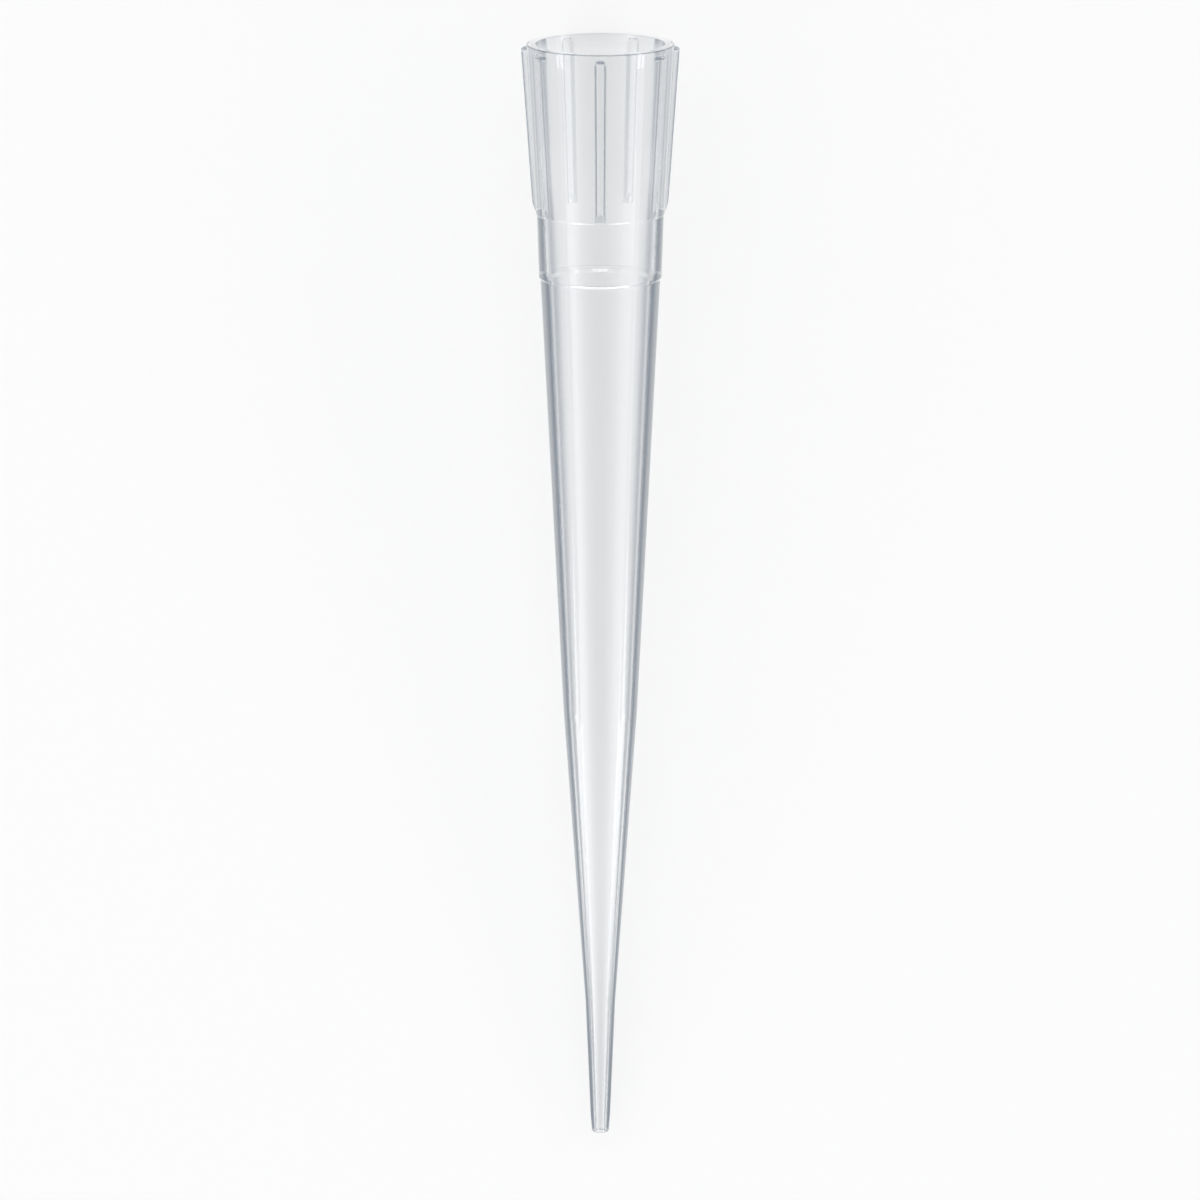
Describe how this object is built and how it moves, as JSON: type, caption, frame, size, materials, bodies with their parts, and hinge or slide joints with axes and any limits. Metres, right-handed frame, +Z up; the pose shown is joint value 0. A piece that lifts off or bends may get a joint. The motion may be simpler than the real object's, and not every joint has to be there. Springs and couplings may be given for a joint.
{
  "type": "pipette tip",
  "caption": "Clear moulded pipette tip with a ribbed collar, a tapered socket for the pipette's nozzle and a long fine point, lying on its side.",
  "frame": {"origin": "bottom centre of the box round the tip, on the surface that it lies on", "axes": "+Y from the nose towards the mouth, along the surface; +Z up, away from the surface; +X across the tip. The tip's own axis leans 3.17 degrees down towards the nose."},
  "size_m": [0.0072, 0.0512, 0.0071],
  "materials": {
    "clear_polypropylene": "clear, smooth and glossy"
  },
  "bodies": {
    "root": {"pipette_tip": "clear_polypropylene"}
  },
  "joints": []
}
